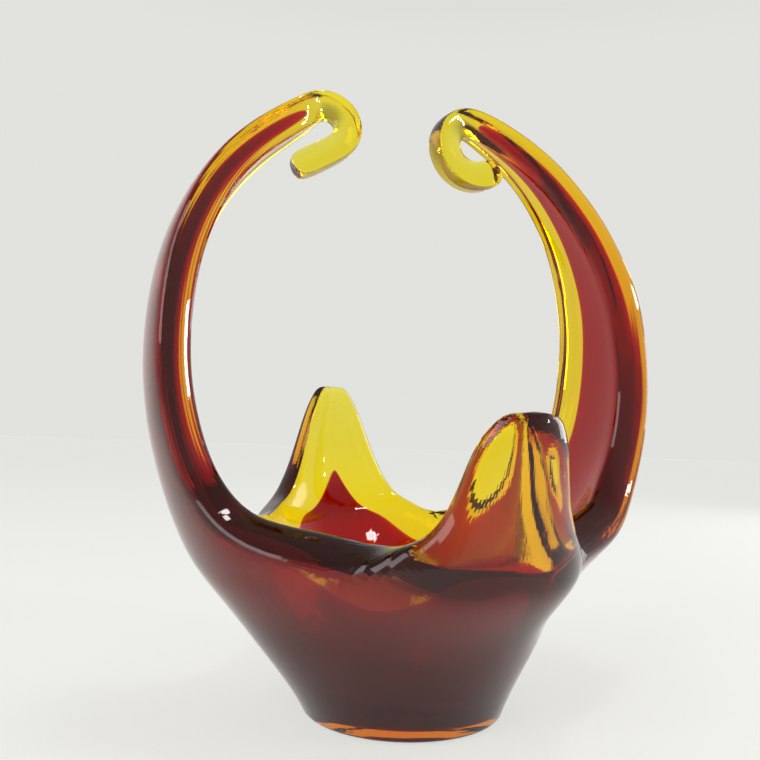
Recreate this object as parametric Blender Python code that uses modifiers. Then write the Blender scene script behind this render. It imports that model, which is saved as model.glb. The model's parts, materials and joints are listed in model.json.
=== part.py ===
"""Basket bowl of cased art glass: a thick bowl on a ground foot, whose rim is pulled at four corners
into two long arms that curl over the opening and two short points between them.

Three gathers of glass lie over each other: a clear amber lining, a ruby layer, and a clear amber casing.
The ruby stops short of the rim, and the curls and the points' tips are amber only.

+Z is up and the origin is at the middle of the foot. The arms rise towards +X and -X.
Each piece is a coarse closed cage, a loft between unlike sections, under a Subdivision Surface.
"""

import math

import bmesh
import bpy
from mathutils import Matrix, Vector

MM = 0.001

# Bowl, in millimetres
FOOT_RADIUS = 30.0
FOOT_THICKNESS = 13.0
SADDLE_RADIUS = 60.0
SADDLE_HEIGHT = 40.0
WALL = 12.5

# Arms and points: how far out and how high the outer surface reaches
LEFT_REACH, LEFT_HEIGHT = 80.5, 184.5
RIGHT_REACH, RIGHT_HEIGHT = 85.0, 190.0
FRONT_REACH, FRONT_HEIGHT = 67.0, 87.5
REAR_REACH, REAR_HEIGHT = 73.0, 98.0
ARM_WIDTH = 42.0
ARM_WALL = 10.0
POINT_WIDTH = 40.0
POINT_WALL = 10.5
LEFT_SKEW = math.radians(-8)
FRONT_SKEW = math.radians(-1)
ARM_SPREAD = math.radians(51)

# Curls: outer radius, rod radius, the angle they end at, a straight run after it, and sideways drift
LEFT_CURL, LEFT_ROD, LEFT_END, LEFT_RUN, LEFT_DRIFT = 11.7, 3.9, math.radians(236), 17.0, 5.0
RIGHT_CURL, RIGHT_ROD, RIGHT_END, RIGHT_RUN, RIGHT_DRIFT = 15.5, 4.9, math.radians(328), 0.0, -6.0
RUN_ROWS = 2
CURL_STEP = math.radians(34)

# Layers
RUBY_WALL = 3.4
RUBY_CLEARANCE = 1.6
SKIN_GAP = 0.3
CUT_GAP = 0.3

# A quarter of the sheet has five columns, from one saddle to the next.
RIGHT, REAR, LEFT, FRONT = range(4)
COLUMNS = (-1.0, -0.5, 0.0, 0.5, 1.0)
STEPS = len(COLUMNS) - 1
AROUND = 4 * STEPS
QUARTER_TURN = math.pi / 2
ROD_BEND = math.radians(72)

# Rings from the foot to the saddles: height and outer radius, from the foot's to the saddles',
# then the direction of the wall's thickness over the horizontal and its share of the wall
RINGS = (
    (0.00, 0.00, math.radians(60), 1.04),
    (0.13, 0.07, math.radians(46), 1.00),
    (0.31, 0.18, math.radians(38), 0.98),
    (0.53, 0.36, math.radians(38), 0.98),
    (0.76, 0.61, math.radians(42), 1.00),
    (1.00, 1.00, math.radians(48), 1.04),
)
SADDLE_ROW = len(RINGS) - 1

# How far the middle of each quarter bulges past the saddles, ring by ring
BULGES = {
    RIGHT: (0.0, 0.0, 0.0, -0.5, -1.0, -1.0, -2.5, -2.0, -1.0),
    REAR: (0.0, 0.0, 0.5, 1.0, 1.0, 0.5),
    LEFT: (0.0, 1.0, 3.5, 6.0, 6.5, 4.5),
    FRONT: (0.0, 0.0, 0.5, 1.0, 1.0, 0.5),
}

# How far each saddle is lifted and drawn in: rear right, rear left, front left and front right,
# and the share of it that each row follows, rings first
SADDLE_LIFTS = (10.0, 8.0, 4.0, 10.0)
SADDLE_PULLS = (1.0, 1.0, 0.0, 4.0)
LIFT_FADE = (0.0, 0.05, 0.18, 0.38, 0.66, 1.0, 0.75, 0.40, 0.15)

# An arm above the saddles, row by row: shares of reach, height and width, hollow of the back,
# share of the wall, and roundness from gutter to rod
ARM_ROOT = (
    (0.800, 0.050, 1.60, 9.0, 1.15, 0.00),
    (0.865, 0.110, 1.32, 5.5, 1.08, 0.00),
    (0.920, 0.180, 1.17, 4.0, 1.02, 0.00),
    (0.960, 0.261, 1.10, 3.5, 1.00, 0.00),
    (0.990, 0.350, 1.05, 2.8, 0.98, 0.00),
    (1.000, 0.442, 1.00, 2.5, 0.97, 0.00),
    (0.992, 0.530, 0.93, 2.4, 0.97, 0.00),
)
LEFT_TOP = (
    (0.970, 0.615, 0.84, 2.3, 0.97, 0.00),
    (0.925, 0.696, 0.75, 2.5, 0.96, 0.00),
    (0.860, 0.774, 0.66, 2.0, 0.95, 0.00),
    (0.770, 0.848, 0.57, 1.6, 0.90, 0.05),
    (0.650, 0.913, 0.47, 1.2, 0.82, 0.15),
    (0.515, 0.970, 0.37, 0.8, 0.76, 0.40),
)
RIGHT_TOP = (
    (0.965, 0.615, 0.84, 2.3, 0.97, 0.00),
    (0.905, 0.700, 0.74, 2.5, 0.96, 0.00),
    (0.825, 0.778, 0.65, 2.0, 0.95, 0.00),
    (0.720, 0.848, 0.56, 1.6, 0.93, 0.05),
    (0.590, 0.912, 0.47, 1.2, 0.92, 0.15),
    (0.430, 0.962, 0.38, 0.8, 0.90, 0.35),
    (0.250, 0.996, 0.30, 0.5, 0.90, 0.60),
)

# A point above the saddles, with the same shares
FRONT_ROWS = (
    (0.90, 0.15, 1.60, 11.0, 1.15),
    (0.93, 0.34, 1.16, 8.0, 1.08),
    (0.96, 0.54, 0.95, 7.0, 1.00),
    (0.98, 0.74, 0.80, 6.0, 0.95),
    (0.99, 0.90, 0.60, 4.5, 0.88),
    (1.00, 1.00, 0.34, 2.5, 0.75),
)
REAR_ROWS = (
    (0.90, 0.15, 1.55, 11.0, 1.15),
    (0.93, 0.34, 1.15, 8.0, 1.08),
    (0.96, 0.54, 0.88, 6.5, 1.00),
    (0.98, 0.74, 0.66, 5.0, 0.95),
    (0.99, 0.90, 0.45, 3.5, 0.88),
    (1.00, 1.00, 0.24, 2.0, 0.75),
)

# The arms and the points are cut here, and the ruby's share of their width is given row by row.
ARM_CUT = SADDLE_ROW + 3
POINT_CUT = SADDLE_ROW + 3
RUBY_IN_ARM = (
    0.80, 0.64, 0.58, 0.56, 0.55, 0.55, 0.55, 0.55, 0.55, 0.54, 0.52, 0.48, 0.43, 0.36, 0.28,
)
RUBY_IN_POINT = (0.74, 0.42, 0.08)
RUBY_EDGE = 0.35

COLLECTION = "basket_bowl"
AMBER = (0.80, 0.45, 0.01, 1.0)
RUBY = (0.22, 0.005, 0.02, 1.0)


def bump(c):
    return 0.5 + 0.5 * math.cos(math.pi * c)


def is_point(quarter):
    return quarter in (FRONT, REAR)


def reach_and_height(quarter):
    return {
        RIGHT: (RIGHT_REACH, RIGHT_HEIGHT),
        REAR: (REAR_REACH, REAR_HEIGHT),
        LEFT: (LEFT_REACH, LEFT_HEIGHT),
        FRONT: (FRONT_REACH, FRONT_HEIGHT),
    }[quarter]


def curl_of(quarter):
    """Outer radius, rod radius, end angle, straight run and drift."""
    if quarter == LEFT:
        return LEFT_CURL, LEFT_ROD, LEFT_END, LEFT_RUN, LEFT_DRIFT
    return RIGHT_CURL, RIGHT_ROD, RIGHT_END, RIGHT_RUN, RIGHT_DRIFT


def rows_of(quarter):
    if is_point(quarter):
        return FRONT_ROWS if quarter == FRONT else REAR_ROWS
    return ARM_ROOT + (LEFT_TOP if quarter == LEFT else RIGHT_TOP)


def top_row(quarter):
    """The last row of an arm or a point before its curl."""
    return SADDLE_ROW + len(rows_of(quarter))


def row_spot(quarter, row):
    """The middle of the outer surface between the saddles and the curl."""
    reach, top = reach_and_height(quarter)
    share = rows_of(quarter)[row - SADDLE_ROW - 1]
    extra = BULGES[quarter][row] if row < len(BULGES[quarter]) else 0.0
    return Vector((share[0] * reach + extra, 0, SADDLE_HEIGHT + share[1] * (top - SADDLE_HEIGHT)))


def curl_angles(quarter):
    """The angle at each row of the curl's arc, from the top of the arm on."""
    radius, _, end, _, _ = curl_of(quarter)
    low = reach_and_height(quarter)[1] - row_spot(quarter, top_row(quarter)).z
    first = math.asin(max(-1.0, min(1.0, 1 - low / radius)))
    count = max(2, round((end - first) / CURL_STEP))
    return [first + (end - first) * step / count for step in range(1, count + 1)]


def last_row(quarter):
    if is_point(quarter):
        return top_row(quarter)
    return top_row(quarter) + len(curl_angles(quarter)) + (RUN_ROWS if curl_of(quarter)[3] else 0)


def spine(quarter, row):
    """The middle of the outer surface above the saddles: reach, drift and height."""
    if row <= top_row(quarter):
        return row_spot(quarter, row)
    radius, _, end, run, drift = curl_of(quarter)
    start = row_spot(quarter, top_row(quarter))
    angles = curl_angles(quarter)
    first = angles[0] - (angles[1] - angles[0])
    along = row - top_row(quarter)
    angle = angles[min(along, len(angles)) - 1]
    past = max(0, along - len(angles)) / RUN_ROWS * run
    return Vector((
        start.x + radius * (math.cos(angle) - math.cos(first)) - past * math.sin(end),
        drift * (along / (last_row(quarter) - top_row(quarter))) ** 1.5,
        start.z + radius * (math.sin(angle) - math.sin(first)) + past * math.cos(end),
    ))


def tangent(quarter, row):
    ahead = spine(quarter, min(row + 1, last_row(quarter)))
    behind = spine(quarter, max(row - 1, SADDLE_ROW + 1))
    return (ahead - behind).normalized()


def inward_of(quarter, row):
    """The spine's inward normal, in the arm's own plane."""
    return tangent(quarter, row).cross(Vector((0, 1, 0))).normalized()


def heading(quarter, row):
    """The direction an arm or a point faces at this row."""
    skew = {LEFT: LEFT_SKEW, FRONT: FRONT_SKEW}.get(quarter, 0.0) * min(1.0, (row - SADDLE_ROW) / 3)
    return Matrix.Rotation(QUARTER_TURN * quarter + skew, 3, "Z")


def azimuth(quarter, row, c):
    """The rings' columns spread from even quarters at the foot to wider ones under the arms."""
    spread = QUARTER_TURN / 2 + (ARM_SPREAD - QUARTER_TURN / 2) * row / SADDLE_ROW
    half = QUARTER_TURN - spread if is_point(quarter) else spread
    return QUARTER_TURN * quarter + c * half


def ring_point(quarter, row, c):
    height, spread, _, _ = RINGS[row]
    radius = FOOT_RADIUS + spread * (SADDLE_RADIUS - FOOT_RADIUS) + BULGES[quarter][row] * bump(c)
    angle = azimuth(quarter, row, c)
    return Vector((radius * math.cos(angle), radius * math.sin(angle), height * SADDLE_HEIGHT))


def rod_point(quarter, row, c, side):
    """A point of the round rod at the spine: side is -1 on its outer half and 1 on its inner half."""
    rod = curl_of(quarter)[1]
    bend = c * ROD_BEND
    depth = rod * (1 + side * math.cos(bend))
    return spine(quarter, row) + inward_of(quarter, row) * depth + Vector((0, rod * math.sin(bend), 0))


def roundness_of(quarter, row):
    if is_point(quarter):
        return 0.0
    return rows_of(quarter)[row - SADDLE_ROW - 1][5] if row <= top_row(quarter) else 1.0


def saddle_shift(quarter, row, c):
    """The lift of the nearer saddle, which fades towards the middle of the quarter."""
    if row >= len(LIFT_FADE):
        return Vector((0, 0, 0))
    saddle = quarter if c > 0 else (quarter - 1) % 4
    angle = azimuth(quarter, SADDLE_ROW, 1.0 if c > 0 else -1.0)
    share = LIFT_FADE[row] * (1 - bump(c)) ** 1.5
    pull = SADDLE_PULLS[saddle]
    return share * Vector((-pull * math.cos(angle), -pull * math.sin(angle), SADDLE_LIFTS[saddle]))


def outer(quarter, row, c):
    """A cage point of the outer surface. c runs from one saddle, -1, to the next, 1."""
    if row <= SADDLE_ROW:
        return ring_point(quarter, row, c) + saddle_shift(quarter, row, c)
    middle = spine(quarter, row)
    turn = heading(quarter, row)
    roundness = roundness_of(quarter, row)
    if roundness == 1.0:
        return turn @ rod_point(quarter, row, c, -1)
    sizes = rows_of(quarter)[row - SADDLE_ROW - 1]
    half = sizes[2] * (POINT_WIDTH if is_point(quarter) else ARM_WIDTH) / 2
    flat = middle + inward_of(quarter, row) * sizes[3] * c * c + Vector((0, half * c, 0))
    if not roundness:
        return turn @ flat + saddle_shift(quarter, row, c)
    return turn @ flat.lerp(rod_point(quarter, row, c, -1), roundness)


def wall_of(quarter, row):
    if row == 0:
        return FOOT_THICKNESS * RINGS[0][3]
    if row <= SADDLE_ROW:
        return WALL * RINGS[row][3]
    share = rows_of(quarter)[row - SADDLE_ROW - 1][4]
    return share * (POINT_WALL if is_point(quarter) else ARM_WALL)


def inner(quarter, row, c):
    """The cage point of the inner surface that lies over the outer one."""
    roundness = 0.0 if row <= SADDLE_ROW else roundness_of(quarter, row)
    if roundness == 1.0:
        return heading(quarter, row) @ rod_point(quarter, row, c, 1)
    start = outer(quarter, row, c)
    wall = wall_of(quarter, row)
    if row <= SADDLE_ROW:
        lean = RINGS[row][2]
        angle = azimuth(quarter, row, c)
        away = Vector((math.cos(angle), math.sin(angle), 0))
        return start + wall * (math.sin(lean) * Vector((0, 0, 1)) - math.cos(lean) * away)
    across = outer(quarter, row, min(c + 0.5, 1.0)) - outer(quarter, row, max(c - 0.5, -1.0))
    along = outer(quarter, min(row + 1, last_row(quarter)), c) - outer(quarter, row - 1, c)
    point = start - wall * across.cross(along).normalized()
    if not roundness:
        return point
    return point.lerp(heading(quarter, row) @ rod_point(quarter, row, c, 1), roundness)


def holds_ruby(quarter, row, c):
    """Whether the amber gathers part for the ruby at this cage point."""
    if row < SADDLE_ROW:
        return True
    if row == SADDLE_ROW:
        return abs(c) < 1
    if not is_point(quarter):
        return abs(c) <= 0.5
    return abs(c) <= 0.5 * (SADDLE_ROW + 3 - row) and abs(c) < 1


# Each depth function gives a piece's lower and upper share of the wall at a cage point.
def solid_depths(quarter, row, c, wall):
    return 0.0, 1.0


def casing_depths(quarter, row, c, wall):
    room = RUBY_WALL / 2 + RUBY_CLEARANCE if holds_ruby(quarter, row, c) else SKIN_GAP / 2
    return 0.0, 0.5 - room / wall


def lining_depths(quarter, row, c, wall):
    return 1.0 - casing_depths(quarter, row, c, wall)[1], 1.0


def ruby_depths(quarter, row, c, wall):
    half = RUBY_WALL / 2 / wall
    if row >= SADDLE_ROW and abs(c) == 1 or row == SADDLE_ROW - 1 and abs(c) == 1:
        half *= RUBY_EDGE
    return 0.5 - half, 0.5 + half


class Cage:
    """Cells of the sheet, with a lower and an upper point for each of their corners."""

    def __init__(self, depths, split_row=SADDLE_ROW + 1):
        self.depths = depths
        self.split_row = split_row
        self.pairs = {}
        self.cells = []
        self.cuts = set()

    def corner(self, quarter, row, column, share=1.0, side=0):
        """The name of a corner, which is made on first use. Rings share the columns at the saddles."""
        if row < self.split_row:
            name = ("ring", row, (quarter * STEPS + column) % AROUND)
        else:
            name = (quarter, row, column)
        if name in self.pairs:
            return name
        c = COLUMNS[column] * share
        near, far = outer(quarter, row, c), inner(quarter, row, c)
        low, high = self.depths(quarter, row, COLUMNS[column], (far - near).length)
        shift = Vector((0, 0, 0))
        if side:
            shift = heading(quarter, row) @ tangent(quarter, row) * side * CUT_GAP / 2
            self.cuts.add(name)
        self.pairs[name] = near.lerp(far, low) + shift, near.lerp(far, high) + shift
        return name

    def strip(self, quarter, first, last, shares=None, below=0, above=0):
        """Rows of cells up one quarter, with half a cut's gap at an end where below or above is set."""
        shares = shares or {}
        for row in range(first, last):
            low = shares.get(row, 1.0), -below if row == first else 0
            high = shares.get(row + 1, 1.0), -above if row + 1 == last else 0
            for column in range(STEPS):
                self.cells.append((
                    self.corner(quarter, row, column, *low),
                    self.corner(quarter, row, column + 1, *low),
                    self.corner(quarter, row + 1, column + 1, *high),
                    self.corner(quarter, row + 1, column, *high),
                ))

    def foot(self):
        """The disc that closes the first ring."""
        low, high = self.depths(RIGHT, 0, 0, FOOT_THICKNESS)
        rise = Vector((0, 0, wall_of(RIGHT, 0) * math.sin(RINGS[0][2])))
        self.pairs["middle"] = rise * low, rise * high
        for step in range(AROUND):
            angle = QUARTER_TURN * (step / STEPS - 0.5)
            across = Vector((math.cos(angle), math.sin(angle), 0)) * FOOT_RADIUS / 2
            self.pairs["foot", step] = across + rise * low, across * 0.8 + rise * high
        for step in range(AROUND):
            after = (step + 1) % AROUND
            self.cells.append((("foot", step), ("foot", after), ("ring", 0, after), ("ring", 0, step)))
            self.cells.append(("middle", ("foot", after), ("foot", step)))

    def rims(self):
        """The cells' edges that no other cell shares, each in its cell's own direction."""
        edges = {}
        for cell in self.cells:
            for start, end in zip(cell, cell[1:] + cell[:1]):
                if (end, start) in edges:
                    del edges[end, start]
                else:
                    edges[start, end] = True
        return list(edges)

    def build(self, name, colour, sharp_foot=False, levels=1):
        shape = bmesh.new()
        crease = shape.edges.layers.float.new("crease_edge")
        low = {corner: shape.verts.new(pair[0] * MM) for corner, pair in self.pairs.items()}
        high = {corner: shape.verts.new(pair[1] * MM) for corner, pair in self.pairs.items()}
        for cell in self.cells:
            shape.faces.new([low[corner] for corner in cell])
            shape.faces.new([high[corner] for corner in reversed(cell)])
        for start, end in self.rims():
            side = shape.faces.new((low[end], low[start], high[start], high[end]))
            if start in self.cuts and end in self.cuts:
                for edge in side.edges:
                    edge[crease] = 1.0
        for step in range(AROUND if sharp_foot else 0):
            ends = low["ring", 0, step], low["ring", 0, (step + 1) % AROUND]
            shape.edges.get(ends)[crease] = 1.0
        data = bpy.data.meshes.new(name)
        shape.to_mesh(data)
        shape.free()
        data.shade_smooth()
        data.materials.append(glass(name + "_glass", colour))
        piece = bpy.data.objects.new(name, data)
        soften = piece.modifiers.new("Soften", "SUBSURF")
        soften.levels = soften.render_levels = levels
        bpy.data.collections[COLLECTION].objects.link(piece)
        return piece


def glass(name, colour):
    material = bpy.data.materials.new(name)
    material.use_nodes = True
    shader = material.node_tree.nodes["Principled BSDF"]
    shader.inputs["Base Color"].default_value = colour
    shader.inputs["Roughness"].default_value = 0.03
    shader.inputs["Metallic"].default_value = 0.0
    shader.inputs["IOR"].default_value = 1.5
    material.diffuse_color = colour
    return material


def shares_from(first, values):
    return dict(zip(range(first, first + len(values)), values))


def bowl_layer(name, colour, depths):
    """The casing or the lining of the bowl, up to the cuts of the arms and the points."""
    cage = Cage(depths)
    for quarter in range(4):
        cage.strip(quarter, 0, SADDLE_ROW)
        cut = POINT_CUT if is_point(quarter) else ARM_CUT
        cage.strip(quarter, SADDLE_ROW, cut, above=1)
    cage.foot()
    return cage.build(name, colour, sharp_foot=depths is casing_depths)


def bowl_ruby():
    """The ruby splits into four tongues one ring below the saddles."""
    cage = Cage(ruby_depths, split_row=SADDLE_ROW)
    for quarter in range(4):
        cage.strip(quarter, 0, SADDLE_ROW - 1)
        if is_point(quarter):
            shares = shares_from(SADDLE_ROW, RUBY_IN_POINT)
            cage.strip(quarter, SADDLE_ROW - 1, SADDLE_ROW + 2, shares)
        else:
            shares = shares_from(SADDLE_ROW, RUBY_IN_ARM)
            cage.strip(quarter, SADDLE_ROW - 1, ARM_CUT, shares, above=1)
    cage.foot()
    return cage.build("bowl_ruby", RUBY)


def arm_layers(quarter, side):
    """The three layers of an arm, from its root to where the ruby tongue ends, and its curl."""
    for layer, colour, depths in (
        ("casing", AMBER, casing_depths),
        ("lining", AMBER, lining_depths),
    ):
        cage = Cage(depths)
        cage.strip(quarter, ARM_CUT, top_row(quarter), below=-1, above=1)
        cage.build(f"{side}_arm_{layer}", colour)
    cage = Cage(ruby_depths)
    shares = shares_from(SADDLE_ROW, RUBY_IN_ARM)
    cage.strip(quarter, ARM_CUT, top_row(quarter), shares, below=-1, above=1)
    cage.build(f"{side}_arm_ruby", RUBY)
    cage = Cage(solid_depths)
    cage.strip(quarter, top_row(quarter), last_row(quarter), below=-1)
    cage.build(f"{side}_curl", AMBER)


def point_tip(quarter, side):
    cage = Cage(solid_depths)
    cage.strip(quarter, POINT_CUT, last_row(quarter), below=-1)
    cage.build(f"{side}_point", AMBER)


def main():
    for old in list(bpy.data.objects):
        bpy.data.objects.remove(old)
    bpy.context.scene.collection.children.link(bpy.data.collections.new(COLLECTION))
    bowl_layer("bowl_casing", AMBER, casing_depths)
    bowl_layer("bowl_lining", AMBER, lining_depths)
    bowl_ruby()
    arm_layers(LEFT, "left")
    arm_layers(RIGHT, "right")
    point_tip(FRONT, "front")
    point_tip(REAR, "rear")


main()
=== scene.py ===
# %% [markdown]
# # A cased glass basket bowl
# The bowl is one lump of hot glass: a clear amber gather, a ruby gather over it and a second amber
# gather outside. While it is soft, its rim is pulled at four corners, into two long arms that curl
# over the opening and two short points between them. This lesson builds it in the same order: the
# body from the foot up, then each corner pulled row by row, then the thick wall, and the ruby
# layer inside it.

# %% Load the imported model, which gives the sizes and the place
import json
import math

import bmesh
import bpy
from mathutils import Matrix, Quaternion, Vector

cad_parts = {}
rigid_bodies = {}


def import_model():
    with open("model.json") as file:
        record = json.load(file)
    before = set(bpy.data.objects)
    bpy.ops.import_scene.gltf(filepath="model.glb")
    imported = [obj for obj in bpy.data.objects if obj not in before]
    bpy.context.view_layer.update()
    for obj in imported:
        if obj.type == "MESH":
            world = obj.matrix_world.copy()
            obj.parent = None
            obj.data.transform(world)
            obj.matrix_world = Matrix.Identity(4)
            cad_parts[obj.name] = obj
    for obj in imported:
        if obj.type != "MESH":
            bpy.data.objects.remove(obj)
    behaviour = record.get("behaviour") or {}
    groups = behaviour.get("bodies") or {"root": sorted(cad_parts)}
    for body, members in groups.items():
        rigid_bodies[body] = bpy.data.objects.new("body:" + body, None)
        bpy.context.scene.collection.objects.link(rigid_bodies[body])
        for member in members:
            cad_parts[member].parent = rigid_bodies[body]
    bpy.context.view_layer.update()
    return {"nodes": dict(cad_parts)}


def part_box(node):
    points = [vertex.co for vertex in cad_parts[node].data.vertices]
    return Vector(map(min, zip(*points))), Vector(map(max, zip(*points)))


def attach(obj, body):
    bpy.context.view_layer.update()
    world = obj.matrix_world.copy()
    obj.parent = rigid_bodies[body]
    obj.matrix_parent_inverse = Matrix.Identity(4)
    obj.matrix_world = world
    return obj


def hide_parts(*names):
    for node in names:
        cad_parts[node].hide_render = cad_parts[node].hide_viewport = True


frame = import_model()
print("CAD nodes:", sorted(frame["nodes"]))

# %% [markdown]
# The imported parts give the heights that the arms and points reach. The tables further down hold
# what a glass worker would decide: how wide and how hollow each pulled corner is on its way
# up. All lengths in them are millimetres, and MM turns them into Blender's metres.

# %% Main sizes
MM = 0.001
FOOT_RADIUS = 30.0
SADDLE_RADIUS = 60.0
SADDLE_HEIGHT = 40.0
THICKEST = 14.0
AROUND = 24
NEAR = 0.01
RIGHT, REAR, LEFT, FRONT = range(4)


def top_of(node):
    return round(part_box(node)[1][2] / MM, 1)


# Melting rounds a tip off or fills it out, so each is pulled to a little above or below its part's
# top
TOPS = {
    RIGHT: top_of("right_curl"),
    REAR: top_of("rear_point") - 0.2,
    LEFT: top_of("left_curl") + 0.9,
    FRONT: top_of("front_point") - 0.3,
}
print("tops:", [round(top, 1) for top in TOPS.values()])

# %% [markdown]
# Shaping by hand needs a few small habits: start with nothing selected, pick points by where they
# are, and give every turn its own centre.

# %% Helpers for edit mode


def start_piece(name):
    """Names the new primitive and opens it in edit mode."""
    piece = bpy.context.object
    piece.name = piece.data.name = name
    bpy.ops.object.mode_set(mode="EDIT")
    bpy.context.tool_settings.mesh_select_mode = (True, False, False)
    return piece


def pick(piece, test):
    """Selects the points that pass the test, with their edges, and returns their places."""
    bpy.ops.mesh.select_all(action="DESELECT")
    mesh = bmesh.from_edit_mesh(piece.data)
    chosen = [point for point in mesh.verts if test(point.co / MM)]
    for point in chosen:
        point.select = True
    for edge in mesh.edges:
        if edge.verts[0].select and edge.verts[1].select:
            edge.select = True
    bmesh.update_edit_mesh(piece.data)
    return [point.co / MM for point in chosen]


def turn(angle, axis, centre=(0, 0, 0)):
    """Turns what is selected by the right-hand rule."""
    middle = Vector(centre) * MM
    bpy.ops.transform.rotate(value=-angle, orient_axis=axis, center_override=middle)


def move(step):
    bpy.ops.transform.translate(value=Vector(step) * MM)


def stretch(scale, centre=(0, 0, 0)):
    bpy.ops.transform.resize(value=scale, center_override=Vector(centre) * MM)


def extrude():
    bpy.ops.mesh.extrude_region_move(TRANSFORM_OT_translate={"value": (0, 0, 0)})


def note_wall(piece, **walls):
    """Writes wall thicknesses on the selected points, as weights that the modifiers read."""
    mesh = bmesh.from_edit_mesh(piece.data)
    layer = mesh.verts.layers.deform.verify()
    for point in mesh.verts:
        if point.select:
            for name, wall in walls.items():
                point[layer][piece.vertex_groups[name].index] = wall / THICKEST
    bmesh.update_edit_mesh(piece.data)


def turn_bowl(piece, angle):
    """Turns the whole piece about its axis, so that the next corner faces +X."""
    bpy.ops.mesh.select_all(action="SELECT")
    turn(angle, "Z")


# %% [markdown]
# ## The body
# The body is a cup on a small flat foot. It could be spun from a profile, but its rings aren't
# round, so a circle is extruded ring by ring instead, each ring higher and wider. The rings are
# then pushed out of round: the corners under the arms are wider than those under the points, and
# the wall bulges below the left arm, where the most glass was pulled.

# %% The cup's rings
# height and spread as shares of the way from the foot to the saddles, glass wall, ruby wall
RINGS = (
    (0.00, 0.00, 13.5, 7.5),
    (0.13, 0.07, 13.0, 7.0),
    (0.31, 0.18, 12.5, 6.8),
    (0.53, 0.36, 12.3, 6.2),
    (0.76, 0.61, 12.5, 3.8),
    (1.00, 1.00, 13.0, 2.8),
)
# How far each ring stands out of round at each corner
BULGES = {
    RIGHT: (0.0, 0.0, 0.0, -0.5, -1.0, -1.0),
    REAR: (0.0, 0.0, 0.5, 1.0, 0.5, -1.0),
    LEFT: (0.0, 1.0, 3.2, 5.2, 5.2, 2.0),
    FRONT: (0.0, 0.0, 0.5, 0.5, 0.0, -2.0),
}
# Half the angle that an arm's corner takes up at the foot, and what it gains by the saddles, in
# degrees
ARM_ANGLE, ARM_GAIN = 45, 6


def ring_size(ring):
    """Radius, height and the half angle of the corners under the arms."""
    height, spread, _, _ = RINGS[ring]
    half = math.radians(ARM_ANGLE + ARM_GAIN * ring / (len(RINGS) - 1))
    return FOOT_RADIUS + spread * (SADDLE_RADIUS - FOOT_RADIUS), height * SADDLE_HEIGHT, half


print("rings:", [round(ring_size(ring)[1], 1) for ring in range(len(RINGS))], "mm high")

# %% [markdown]
# Each ring has four corners. With the corner turned to face +X, its points are those beyond the
# chord between its neighbours, and stretching them from that chord pushes the corner out or in.

# %% Corners of a ring


def corner_edge(ring, quarter):
    """Distance of the corner's chord from the axis."""
    radius, _, half = ring_size(ring)
    return radius * (math.cos(half) if quarter in (RIGHT, LEFT) else math.sin(half))


def swell(piece, ring, quarter):
    """Pushes one corner of one ring out to its own reach. The corner faces +X."""
    radius, height, half = ring_size(ring)
    chord = corner_edge(ring, quarter)
    points = pick(piece, lambda p: abs(p.z - height) < NEAR and p.x > chord + NEAR)
    middle = max(p.x for p in points)
    outwards = (radius + BULGES[quarter][ring] - chord) / (middle - chord)
    stretch((outwards, 1, 1), (chord, 0, height))


# %% [markdown]
# The foot is a filled circle, inset twice so that the melted form stays flat there. Every point
# also gets two weights, the thickness of the glass and of the ruby inside it, which later become
# real walls.

# %% The cup
FOOT_INSETS, FOOT_INSET = 2, 10.0


def cup(name, rings):
    """The foot and the rings, as an open sheet: the outer surface of the glass."""
    bpy.ops.object.select_all(action="DESELECT")
    bpy.ops.mesh.primitive_circle_add(vertices=AROUND, radius=FOOT_RADIUS * MM, fill_type="NGON")
    piece = start_piece(name)
    for group in ("wall", "ruby"):
        piece.vertex_groups.new(name=group)
    bpy.ops.mesh.select_all(action="SELECT")
    note_wall(piece, wall=RINGS[0][2], ruby=RINGS[0][3])
    for _ in range(FOOT_INSETS):
        bpy.ops.mesh.inset(thickness=FOOT_INSET * MM)
        note_wall(piece, wall=RINGS[0][2], ruby=RINGS[0][3])
    pick(piece, lambda p: p.length > FOOT_RADIUS - NEAR)
    for ring in range(1, rings):
        radius, height, half = ring_size(ring)
        before, low, before_half = ring_size(ring - 1)
        extrude()
        grow = radius / before
        wide = grow * math.cos(half) / math.cos(before_half)
        deep = grow * math.sin(half) / math.sin(before_half)
        stretch((wide, deep, 1))
        move((0, 0, height - low))
        note_wall(piece, wall=RINGS[ring][2], ruby=RINGS[ring][3])
    for quarter in range(4):
        for ring in range(1, rings):
            swell(piece, ring, quarter)
        turn_bowl(piece, -math.pi / 2)
    return piece


# %% [markdown]
# ## The pulled corners
# An arm is the rim's corner drawn out row by row, as the glass worker draws it with pincers. A
# curve with a bevel would give it one section all along, but the real one starts as a wide hollow
# strip and ends as a round rod, so each row says how far out and how high its middle is, how wide
# the strip is, how hollow its back is, and how thick the glass is.

# %% The rows of the arms
# reach and height as shares, half width, hollow, wall, ruby's share of the width
ARM_ROOT = (
    (0.795, 0.040, 35.0, 9.5, 11.8, 0.74),
    (0.860, 0.105, 27.7, 6.0, 11.0, 0.70),
    (0.918, 0.180, 24.2, 4.5, 10.2, 0.68),
    (0.960, 0.261, 22.2, 3.8, 9.8, 0.66),
    (0.990, 0.350, 21.0, 3.2, 9.6, 0.64),
    (1.000, 0.442, 20.0, 3.0, 9.5, 0.62),
    (0.992, 0.530, 18.5, 2.8, 9.5, 0.60),
)
LEFT_TOP = (
    (0.970, 0.615, 17.5, 2.3, 9.8, 0.56),
    (0.925, 0.696, 15.6, 2.2, 9.6, 0.51),
    (0.860, 0.774, 13.7, 1.8, 9.6, 0.45),
    (0.770, 0.848, 11.6, 1.4, 9.6, 0.38),
    (0.650, 0.913, 9.4, 1.0, 9.4, 0.30),
    (0.515, 0.970, 7.2, 0.8, 9.2, 0.20),
)
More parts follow.
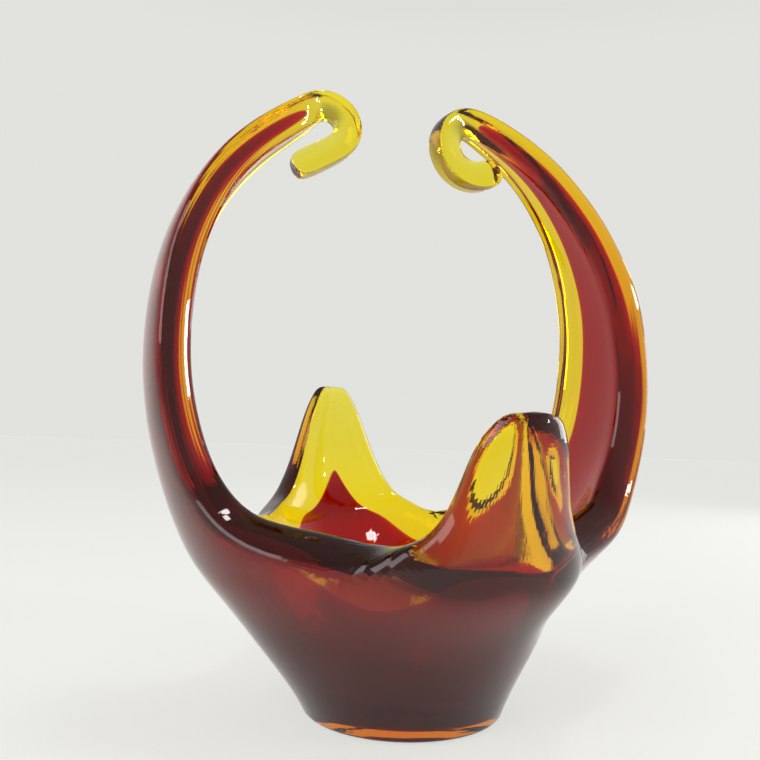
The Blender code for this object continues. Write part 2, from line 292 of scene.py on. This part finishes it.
RIGHT_TOP = (
    (0.965, 0.615, 17.5, 2.3, 9.8, 0.55),
    (0.905, 0.700, 15.4, 2.2, 9.6, 0.54),
    (0.825, 0.778, 13.5, 1.8, 9.4, 0.52),
    (0.720, 0.848, 11.4, 1.4, 9.2, 0.48),
    (0.590, 0.912, 9.4, 1.0, 9.0, 0.43),
    (0.430, 0.962, 7.4, 0.8, 8.8, 0.36),
    (0.250, 0.996, 5.6, 0.8, 8.6, 0.28),
)
print("arm rows:", len(ARM_ROOT + LEFT_TOP), "left,", len(ARM_ROOT + RIGHT_TOP), "right")

# %% [markdown]
# The points are the same kind of pull, cut short while the strip is still broad. Ruby reaches only
# their first rows, so their tips are clear amber.

# %% The rows of the points
FRONT_POINT = (
    (0.920, 0.10, 32.5, 12.5, 12.4, 0.28),
    (0.950, 0.26, 24.5, 12.0, 12.0, 0.0),
    (0.975, 0.45, 19.4, 11.5, 11.6, 0.0),
    (0.990, 0.65, 16.8, 10.5, 11.2, 0.0),
    (1.000, 0.85, 14.4, 8.5, 10.6, 0.0),
    (1.000, 1.00, 8.6, 5.0, 9.4, 0.0),
)
REAR_POINT = (
    (0.880, 0.08, 32.5, 11.0, 11.6, 0.46),
    (0.930, 0.24, 25.5, 8.5, 10.0, 0.28),
    (0.970, 0.44, 20.0, 6.5, 8.2, 0.05),
    (0.990, 0.65, 15.6, 5.0, 7.0, 0.0),
    (1.000, 0.86, 11.6, 3.6, 6.0, 0.0),
    (1.000, 1.02, 6.4, 2.0, 5.2, 0.0),
)
print("point rows:", len(FRONT_POINT), "front,", len(REAR_POINT), "rear")

# %% [markdown]
# Each corner then has its own reach, and a skew where it faces a little off the square. An arm
# also has its curl: a rod that turns about a circle, runs straight for a while on the left, and
# drifts to one side so that it clears the strip. The right arm is thicker than the left one half
# way up.

# %% Where each corner goes
# reach, skew, and the curl: outer radius, rod radius, end angle, straight run, drift
CORNERS = {
    RIGHT: (85.0, 0.0, (14.8, 4.6, 312, 0.0, -6.0)),
    REAR: (73.0, -2.0, None),
    LEFT: (80.5, -8.0, (11.7, 4.1, 236, 17.0, 5.0)),
    FRONT: (67.0, -1.2, None),
}
ROWS = {
    RIGHT: ARM_ROOT + RIGHT_TOP, REAR: REAR_POINT, LEFT: ARM_ROOT + LEFT_TOP, FRONT: FRONT_POINT,
}
EXTRA_WALL = {RIGHT: 0.36}
ROOT_BULGE = {RIGHT: (-2.5, -2.0, -1.0), LEFT: (1.5, 0.7)}
CURL_STEP, ROD_HOLLOW = 34, 0.6


def strip_rows(quarter):
    """Each row's middle, half width, hollow, wall and ruby share, from the saddles up."""
    reach = CORNERS[quarter][0]
    bulges = ROOT_BULGE.get(quarter, ())
    rows = []
    for k, (out, up, half, hollow, wall, ruby) in enumerate(ROWS[quarter]):
        x = out * reach + (bulges[k] if k < len(bulges) else 0.0)
        middle = Vector((x, 0, SADDLE_HEIGHT + up * (TOPS[quarter] - SADDLE_HEIGHT)))
        along = (k + 1) / (len(ROWS[quarter]) + 1)
        wall *= 1 + EXTRA_WALL.get(quarter, 0.0) * math.sin(math.pi * along) ** 0.5
        rows.append((middle, half, hollow, wall, ruby))
    return rows


def curl_rows(quarter, start):
    """The rows of a curl that starts at the given middle."""
    radius, rod, end, run, drift = CORNERS[quarter][2]
    first = math.degrees(math.asin(1 - (TOPS[quarter] - start.z) / radius))
    count = round((end - first) / CURL_STEP)
    steps = [(first + (end - first) * k / count, 0.0) for k in range(1, count + 1)]
    steps += [(end, run * k / 2) for k in (1, 2) if run]
    was, along = math.radians(first), math.radians(end)
    rows = []
    for k, (angle, past) in enumerate(steps, 1):
        here = math.radians(angle)
        middle = start + Vector((
            radius * (math.cos(here) - math.cos(was)) - past * math.sin(along),
            drift * (k / len(steps)) ** 1.5,
            radius * (math.sin(here) - math.sin(was)) + past * math.cos(along),
        ))
        rows.append((middle, rod, ROD_HOLLOW, 2 * rod, 0.0))
    return rows


def corner_rows(quarter):
    rows = strip_rows(quarter)
    if CORNERS[quarter][2]:
        rows += curl_rows(quarter, rows[-1][0])
    return rows


print("rows in all:", [len(corner_rows(quarter)) for quarter in range(4)])

# %% [markdown]
# The strip leans with its own path, so the lean of each row is worked out from the rows on either
# side of it.

# %% Lean of the strip


def leans(middles):
    """The strip's lean at each row, from the rows on either side of it."""
    found = []
    for k in range(len(middles)):
        step = middles[min(k + 1, len(middles) - 1)] - middles[max(k - 1, 0)]
        lean = math.atan2(step.x, step.z)
        while found and lean > found[-1] + math.pi:
            lean -= 2 * math.pi
        found.append(lean)
    return found


# %% [markdown]
# One function pulls any corner. It extrudes the chosen rim edges, straightens the new row,
# stretches it to its own width and hollow, leans it, and moves it to its place. Three corners face
# a little off the square, so the rest of the bowl is turned slightly during their first rows.

# %% Pull a corner
TURNING_ROWS = 3


def pull(piece, rim, rows, skew):
    """rim is the middle, lean, half width and hollow of the selected edge."""
    middle, lean, half, hollow = rim
    leaning = leans([row[0] for row in rows])
    for k, (place, wide, deep, wall, ruby_wall) in enumerate(rows):
        extrude()
        turn(-lean, "Y", middle)
        stretch((deep / hollow, wide / half, 1), middle)
        turn(leaning[k], "Y", middle)
        move(place - middle)
        note_wall(piece, wall=wall, ruby=ruby_wall)
        middle, lean, half, hollow = place, leaning[k], wide, deep
        if k < TURNING_ROWS and skew:
            bpy.ops.mesh.select_all(action="INVERT")
            turn(-skew / TURNING_ROWS, "Z")
            bpy.ops.mesh.select_all(action="INVERT")


def rim_of(piece, ring, quarter):
    """Selects the corner's edge of the top ring and measures it."""
    height = ring_size(ring)[1]
    chord = corner_edge(ring, quarter)
    points = pick(piece, lambda p: abs(p.z - height) < NEAR and p.x > chord - NEAR)
    middle = max(points, key=lambda p: p.x)
    half = max(p.y for p in points)
    return Vector((middle.x, 0, height)), 0.0, half, middle.x - min(p.x for p in points)


def pulled_sheet(name, rings, rows_of):
    """A cup with all four corners pulled, turned a quarter each time."""
    piece = cup(name, rings)
    for quarter in range(4):
        skew = math.radians(CORNERS[quarter][1])
        pull(piece, rim_of(piece, rings - 1, quarter), rows_of(quarter), skew)
        turn_bowl(piece, skew - math.pi / 2)
    bpy.ops.object.mode_set(mode="OBJECT")
    return piece


# %% [markdown]
# ## The amber body
# The outer and the inner amber look like one glass, so one piece holds both. It begins as the open
# outer sheet, pulled at its four corners.

# %% Pull the amber sheet
amber_body = pulled_sheet("amber_body", len(RINGS), corner_rows)
print("amber sheet:", len(amber_body.data.vertices), "points")

# %% [markdown]
# Between the corners the rim dips in four saddles. A soft pull draws each of them in and up, so
# that the dip is a round U: a tiny handle is added there, moved with proportional editing so that
# the glass around it follows, and deleted.

# %% Ease the saddles
# Azimuth of each saddle, how far it is drawn in and lifted, and the later lift of its lip
SADDLES = (
    (-47, 7.0, 6.5, 2.0), (51, 0.0, 5.0, 2.0), (129, 0.0, 5.0, 2.0), (-135, 0.0, 4.5, 9.0),
)
SADDLE_REACH = 32.0
HANDLE_RADIUS = 0.01


def pull_by_handle(piece, spot, step, reach):
    """Moves the glass around a spot by a small handle that is then removed."""
    bpy.ops.object.select_all(action="DESELECT")
    bpy.context.view_layer.objects.active = piece
    bpy.ops.object.mode_set(mode="EDIT")
    bpy.ops.mesh.select_all(action="DESELECT")
    bpy.ops.mesh.primitive_circle_add(
        vertices=3, radius=HANDLE_RADIUS * MM, location=Vector(spot) * MM,
    )
    bpy.ops.transform.translate(
        value=Vector(step) * MM, use_proportional_edit=True,
        proportional_edit_falloff="SMOOTH", proportional_size=reach * MM,
    )
    bpy.ops.mesh.delete(type="VERT")
    bpy.ops.object.mode_set(mode="OBJECT")


def outwards_at(azimuth):
    return Vector((math.cos(math.radians(azimuth)), math.sin(math.radians(azimuth)), 0))


def ease_saddles(piece):
    for azimuth, inwards, lift, _ in SADDLES:
        out = outwards_at(azimuth)
        spot = SADDLE_RADIUS * out + Vector((0, 0, SADDLE_HEIGHT))
        pull_by_handle(piece, spot, Vector((0, 0, lift)) - inwards * out, SADDLE_REACH)


ease_saddles(amber_body)
print("saddles:", len(SADDLES))

# %% [markdown]
# Solidify gives the sheet its thick wall, reading the wall of each row from the weights. The rim's
# two edges stay a little crisp, as they do on glass that was sheared and fire-polished, and the
# foot's edge is ground. Creases hold those edges while Subdivision Surface melts the coarse rows
# into one smooth form. They fade out towards the curls, which are round rods.

# %% Modifiers
MELT_LEVELS = 3


def add_modifier(piece, kind, **settings):
    """Adds a modifier and applies it."""
    modifier = piece.modifiers.new(kind.title(), kind)
    for key, value in settings.items():
        setattr(modifier, key, value)
    bpy.context.view_layer.objects.active = piece
    bpy.ops.object.modifier_apply(modifier=modifier.name)


def turn_faces_out(piece):
    bpy.ops.object.mode_set(mode="EDIT")
    bpy.ops.mesh.select_all(action="SELECT")
    bpy.ops.mesh.flip_normals()
    bpy.ops.object.mode_set(mode="OBJECT")


def melt(piece):
    add_modifier(piece, "SUBSURF", levels=MELT_LEVELS, render_levels=MELT_LEVELS)
    bpy.ops.object.shade_smooth()


# %% [markdown]
# Once the wall is there, the lip at each saddle is rolled: its inner edge is lifted, so that its
# rounded end faces out, most of all at the front left.

# %% Give the amber its wall
LIP_REACH, LIP_INSET, LIP_RISE = 24.0, 8.0, 9.0
LIP_CREASE, FOOT_CREASE = 0.25, 0.6
# Above these heights the creases lose this much
CREASE_FADES = ((140, 0.10), (165, 0.15))


def roll_lips(piece):
    for azimuth, inwards, lift, lip in SADDLES:
        spot = (SADDLE_RADIUS - inwards - LIP_INSET) * outwards_at(azimuth)
        spot += Vector((0, 0, SADDLE_HEIGHT + lift + LIP_RISE))
        pull_by_handle(piece, spot, (0, 0, lip), LIP_REACH)


def thicken_body(piece):
    turn_faces_out(piece)
    add_modifier(
        piece, "SOLIDIFY", thickness=THICKEST * MM, offset=-1.0, vertex_group="wall",
        use_even_offset=True, use_quality_normals=True,
        edge_crease_inner=LIP_CREASE, edge_crease_outer=LIP_CREASE,
    )
    roll_lips(piece)
    bpy.ops.object.mode_set(mode="EDIT")
    for low, loss in CREASE_FADES:
        pick(piece, lambda p: p.z > low)
        bpy.ops.transform.edge_crease(value=-loss)
    pick(piece, lambda p: p.z < NEAR and math.hypot(p.x, p.y) > FOOT_RADIUS - 1)
    bpy.ops.transform.edge_crease(value=FOOT_CREASE)
    bpy.ops.object.mode_set(mode="OBJECT")
    melt(piece)


thicken_body(amber_body)
print("amber body:", len(amber_body.data.polygons), "faces")

# %% [markdown]
# ## The ruby layer
# The ruby gather lies in the middle of the wall. It reaches into each corner as a tongue: far up
# the arms, where it narrows to a thread, and only a little way into the points. A copy of the
# amber body, shrunk, would keep the amber's outline, but the tongues are narrower than the strips
# that hold them. So the ruby is pulled in the same way as the amber, from one ring lower, which
# leaves each tongue free at its sides.

# %% Pull the ruby sheet
CORE_RINGS = 5
# The width of each tongue where it leaves the cup, and the ruby's thickness low and high in it
TONGUES = {RIGHT: 0.76, REAR: 0.56, LEFT: 0.76, FRONT: 0.50}
ARM_RUBY = {RIGHT: (4.2, 3.2), LEFT: (3.0, 2.4), REAR: (5.6, 4.6), FRONT: (2.6, 2.0)}
# The ruby lies nearer to the arms' front edges, as a share of their half width
OFF_CENTRE = {RIGHT: -0.17, LEFT: 0.17, REAR: 0.0, FRONT: 0.0}


def saddle_row(quarter):
    """The tongue's first row, at the height of the saddles."""
    radius, height, spread = ring_size(CORE_RINGS)
    share = TONGUES[quarter]
    across = math.sin(spread) if quarter in (RIGHT, LEFT) else math.cos(spread)
    reach = radius + BULGES[quarter][CORE_RINGS]
    hollow = reach - corner_edge(CORE_RINGS, quarter)
    _, _, wall, ruby_wall = RINGS[CORE_RINGS]
    half = radius * across * share
    return Vector((reach, 0, height)), half, hollow * share**2, wall, ruby_wall


def ruby_rows(quarter):
    """The saddle row and the rows above it that hold ruby, each as wide as the ruby in it."""
    rows = [saddle_row(quarter)]
    held = [row for row in corner_rows(quarter) if row[4]]
    low, high = ARM_RUBY[quarter]
    for k, (middle, half, hollow, wall, share) in enumerate(held):
        aside = Vector((0, OFF_CENTRE[quarter] * half * min(1, k / 2), 0))
        ruby_wall = low + (high - low) * k / len(held)
        rows.append((middle + aside, half * share, hollow * share**2, wall, ruby_wall))
    return rows


ruby_core = pulled_sheet("ruby_core", CORE_RINGS, ruby_rows)
ease_saddles(ruby_core)
print("ruby sheet:", len(ruby_core.data.vertices), "points")

# %% [markdown]
# The sheet still lies on the outer surface. A Displace modifier sinks it to the middle of the
# wall, reading the same weights as the wall itself, and Solidify then gives it its own thickness
# to both sides.

# %% Sink the ruby into the wall


def thicken_core(piece):
    turn_faces_out(piece)
    add_modifier(
        piece, "DISPLACE", strength=-0.5 * THICKEST * MM, mid_level=0.0, vertex_group="wall",
    )
    add_modifier(
        piece, "SOLIDIFY", thickness=THICKEST * MM, offset=0.0, vertex_group="ruby",
        use_even_offset=False,
    )
    melt(piece)


thicken_core(ruby_core)
print("ruby core:", len(ruby_core.data.polygons), "faces")

# %% [markdown]
# ## The two glasses
# Real coloured glass is clear at its surface and takes its colour from what light loses on its way
# through. A coloured surface would look the same in thin and thick places, so both glasses are a
# clear Principled surface with Volume Absorption inside, which makes thin edges pale and thick
# places deep without any painting. The ruby lies inside the amber with no air between, so its own
# surface bends nothing: its index is 1.
#
# The nodes are written as Python expressions. One small class wraps a socket and gives it
# arithmetic, and one method adds any other node.

# %% Nodes as expressions


class Wire:
    """A socket with arithmetic: an expression on wires adds Math nodes."""

    def __init__(self, recipe, socket):
        self.recipe, self.socket = recipe, socket

    def maths(self, operation, other):
        sockets = {0: self, 1: other}
        return self.recipe.node("ShaderNodeMath", {"operation": operation}, sockets)["Value"]

    def __add__(self, other):
        return self.maths("ADD", other)

    def __mul__(self, other):
        return self.maths("MULTIPLY", other)

    __radd__, __rmul__ = __add__, __mul__


class Recipe:
    """The nodes of one material, or of the room."""

    def __init__(self, holder):
        holder.use_nodes = True
        self.tree = holder.node_tree
        self.tree.nodes.clear()

    def node(self, kind, settings, sockets):
        """Adds a node, with its settings first, then values or wires for its sockets.

        It returns the outputs by name and by number, because some nodes name several alike.
        """
        made = self.tree.nodes.new(kind)
        for key, value in settings.items():
            setattr(made, key, value)
        for key, value in sockets.items():
            if isinstance(value, Wire):
                self.tree.links.new(value.socket, made.inputs[key])
            else:
                made.inputs[key].default_value = value
        wires = [Wire(self, output) for output in made.outputs]
        return dict(enumerate(wires)) | {wire.socket.name: wire for wire in wires}

    def mix(self, factor, first, second):
        """Mixes two colours. The colour sockets of a Mix node come after those of other data."""
        sockets = {0: factor, 6: first, 7: second}
        return self.node("ShaderNodeMix", {"data_type": "RGBA"}, sockets)[2]

    def place(self, stretch=(1, 1, 1)):
        """Object coordinates, stretched."""
        spot = self.node("ShaderNodeTexCoord", {}, {})["Object"]
        return self.node("ShaderNodeMapping", {}, {"Vector": spot, "Scale": stretch})["Vector"]

    def noise(self, scale, detail=2.0, stretch=(1, 1, 1)):
        return self.node("ShaderNodeTexNoise", {}, {
            "Vector": self.place(stretch), "Scale": scale, "Detail": detail,
        })["Fac"]


# %% [markdown]
# The outer amber is fire-polished: almost perfectly smooth, with long soft waves from the pulling
# and a faint haze of handling. The same slow noise tints it a little warmer in places. Ruby glass
# gets its colour from tiny particles, which scatter some light back. A small share of a dull red,
# mixed into its surface, stands for that, and keeps the thickest places dark red where they would
# go black.

# %% Coloured glass
WAVE_SCALE, WAVE_STRETCH = 22.0, (1, 1, 0.35)
HAZE_SCALE = 60.0


def coloured_glass(name, index, tint, density, tones, haze=0.0, waves=0.0, stain=None):
    """tones are the surface's two colours, haze its highest roughness, waves the bump's height, and
    stain the colour and the share of the light that the glass scatters back."""
    material = bpy.data.materials.new(name)
    glass = Recipe(material)
    drift = glass.noise(WAVE_SCALE, stretch=WAVE_STRETCH)
    surface = {
        "Base Color": glass.mix(drift, *tones),
        "Roughness": haze * glass.noise(HAZE_SCALE, detail=4.0) if haze else 0.0,
        "IOR": index,
        "Transmission Weight": 1.0,
    }
    if waves:
        bump = {"Strength": 1.0, "Distance": waves, "Height": drift}
        surface["Normal"] = glass.node("ShaderNodeBump", {}, bump)["Normal"]
    shader = glass.node("ShaderNodeBsdfPrincipled", {}, surface)["BSDF"]
    if stain:
        colour, share = stain
        dull = glass.node("ShaderNodeBsdfPrincipled", {}, {
            "Base Color": colour, "Roughness": 0.6, "Specular IOR Level": 0.0,
        })["BSDF"]
        layers = {"Fac": share, 1: shader, 2: dull}
        shader = glass.node("ShaderNodeMixShader", {}, layers)["Shader"]
    inside = {"Color": tint, "Density": density}
    volume = glass.node("ShaderNodeVolumeAbsorption", {}, inside)["Volume"]
    glass.node("ShaderNodeOutputMaterial", {}, {"Surface": shader, "Volume": volume})
    return material


amber = coloured_glass(
    "amber_glass", index=1.5, tint=(0.991, 0.938, 0.0, 1), density=450.0,
    tones=((1.0, 1.0, 0.99, 1), (1.0, 0.985, 0.95, 1)), haze=0.015, waves=0.0009,
)
ruby = coloured_glass(
    "ruby_glass", index=1.0, tint=(0.868, 0.0, 0.50, 1), density=1500.0,
    tones=((1.0, 1.0, 1.0, 1), (1.0, 0.93, 0.93, 1)), stain=((0.62, 0.006, 0.01, 1), 0.11),
)
amber_body.data.materials.append(amber)
ruby_core.data.materials.append(ruby)
print("glasses:", amber.name, ruby.name)

# %% [markdown]
# ## The pieces and the frame
# The bowl is rigid, so both pieces ride on its one body. The amber body stands for every amber
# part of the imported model, curls and points included, and the ruby core for the three ruby parts.

# %% Tie the pieces to the frame
RUBY_NODES = [node for node in frame["nodes"] if "ruby" in node]
AMBER_NODES = [node for node in frame["nodes"] if "ruby" not in node]
PIECES = ((amber_body, AMBER_NODES, "amber"), (ruby_core, RUBY_NODES, "ruby"))
for piece, nodes, finish in PIECES:
    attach(piece, "root")
    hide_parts(*nodes)
print("amber stands for", len(AMBER_NODES), "nodes, ruby for", len(RUBY_NODES))

# %% [markdown]
# ## The studio
# Glass shows what is around it. A pale table, which glows a little as a light table does, fills it
# with soft light from below, so its colours show even in the foot.

# %% Floor
FLOOR_RADIUS, FLOOR_DROP = 6.0, 0.0005
FLOOR_GLOW = (0.577, 0.582, 0.560, 1)
FLOOR_TONES = (0.36, 0.365, 0.345, 1), (0.38, 0.385, 0.365, 1)
bpy.ops.object.select_all(action="DESELECT")
bpy.ops.mesh.primitive_circle_add(
    vertices=96, radius=FLOOR_RADIUS, fill_type="NGON", location=(0, 0, -FLOOR_DROP),
)
floor = bpy.context.object
floor.name = "floor"
pale = bpy.data.materials.new("pale_floor")
paper = Recipe(pale)
coat = paper.node("ShaderNodeBsdfPrincipled", {}, {
    "Base Color": paper.mix(paper.noise(9.0, detail=3.0), *FLOOR_TONES), "Roughness": 0.9,
    "Specular IOR Level": 0.1, "Emission Color": FLOOR_GLOW, "Emission Strength": 1.0,
})["BSDF"]
paper.node("ShaderNodeOutputMaterial", {}, {"Surface": coat})
floor.data.materials.append(pale)
print("floor:", FLOOR_RADIUS, "m in radius")

# %% [markdown]
# The room is the world itself: pale walls that meet the table without a hard horizon where the
# light comes from. The ceiling and the opposite side are dimmer, so the glass mirrors them only
# faintly and keeps its deep colours.

# %% Room
WALL_TONE, CEILING_TONE = (0.76, 0.765, 0.735, 1), (0.32, 0.32, 0.31, 1)
DIM_TONE = (0.50, 0.50, 0.48, 1)
DIM_SIDE, DIM_FULL = (-0.49, -0.87), 0.8
WALL_TOP, CEILING_START = 0.45, 0.80

world = bpy.data.worlds.new("studio")
bpy.context.scene.world = world
room = Recipe(world)
direction = room.node("ShaderNodeTexCoord", {}, {})["Generated"]
along = room.node("ShaderNodeSeparateXYZ", {}, {"Vector": direction})


def fade(value, start, full):
    """Goes smoothly from 0 at start to 1 at full."""
    sockets = {"Value": value, "From Min": start, "From Max": full}
    return room.node("ShaderNodeMapRange", {"interpolation_type": "SMOOTHSTEP"}, sockets)["Result"]


sideways = along["X"] * DIM_SIDE[0] + along["Y"] * DIM_SIDE[1]
walls = room.mix(fade(sideways, 0.0, DIM_FULL), WALL_TONE, DIM_TONE)
tone = room.mix(fade(along["Z"], WALL_TOP, CEILING_START), walls, CEILING_TONE)
glow = room.node("ShaderNodeBackground", {}, {"Color": tone})
room.node("ShaderNodeOutputWorld", {}, {"Surface": glow["Background"]})
print("room:", world.name)

# %% [markdown]
# The view transform is Standard, so that the pale wall and the yellow come out as they are mixed.
# Light crosses four skins in each wall and runs along inside it. Where it is dropped too early the
# glass goes black, so it is given many bounces.

# %% Light paths
BOUNCES = 48
bpy.context.scene.view_settings.view_transform = "Standard"
light_paths = bpy.context.scene.cycles
light_paths.max_bounces = light_paths.transmission_bounces = light_paths.glossy_bounces = BOUNCES
print("bounces:", BOUNCES)

# %% [markdown]
# Four soft boxes give the glass the long highlights that draw its ridges: a broad one on the left,
# a broad and a narrow one on the right, and a small one above.

# %% Soft boxes


def soft_box(name, place, target, size, watts):
    lamp = bpy.data.lights.new(name, "AREA")
    lamp.shape = "RECTANGLE"
    lamp.size, lamp.size_y, lamp.energy = *size, watts
    box = bpy.data.objects.new(name, lamp)
    bpy.context.scene.collection.objects.link(box)
    box.location = place
    box.rotation_euler = (Vector(target) - Vector(place)).to_track_quat("-Z", "Y").to_euler()


SOFT_BOXES = (
    ("window_left", (-0.75, -0.35, 0.55), (0, 0, 0.09), (0.50, 0.60), 2.9),
    ("panel_right", (0.85, 0.10, 0.30), (0, 0, 0.09), (0.45, 0.40), 1.6),
    ("window_right", (0.60, -0.55, 0.40), (0, 0, 0.09), (0.05, 0.30), 1.1),
    ("overhead", (0.05, -0.15, 0.95), (0, 0, 0.08), (0.16, 0.10), 0.9),
)
for each in SOFT_BOXES:
    soft_box(*each)
print("soft boxes:", len(SOFT_BOXES))

# %% [markdown]
# ## The camera
# It stands close, just below the middle of the bowl, and looks slightly up through the arms, so
# that the near point looks large and the curls stand against the wall. It is held a little askew.

# %% Camera
EYE_TARGET = Vector((0, 0, 0.100))
EYE_DISTANCE = 0.23997
EYE_ROUND, EYE_UP, EYE_ROLL = (math.radians(angle) for angle in (-29.04, -4.82, 2.05))
EYE_LENS, EYE_SHIFT, EYE_NEAREST = 36.4, (-0.0445, -0.0082), 0.01

eye = bpy.data.objects.new("camera", bpy.data.cameras.new("camera"))
bpy.context.scene.collection.objects.link(eye)
away = Vector((math.sin(EYE_ROUND), -math.cos(EYE_ROUND), 0)) * math.cos(EYE_UP)
away.z = math.sin(EYE_UP)
eye.location = EYE_TARGET + EYE_DISTANCE * away
eye.rotation_euler = (away.to_track_quat("Z", "Y") @ Quaternion((0, 0, 1), EYE_ROLL)).to_euler()
eye.data.lens, eye.data.clip_start = EYE_LENS, EYE_NEAREST
eye.data.shift_x, eye.data.shift_y = EYE_SHIFT
bpy.context.scene.camera = eye
print("camera at", [round(value, 4) for value in eye.location])
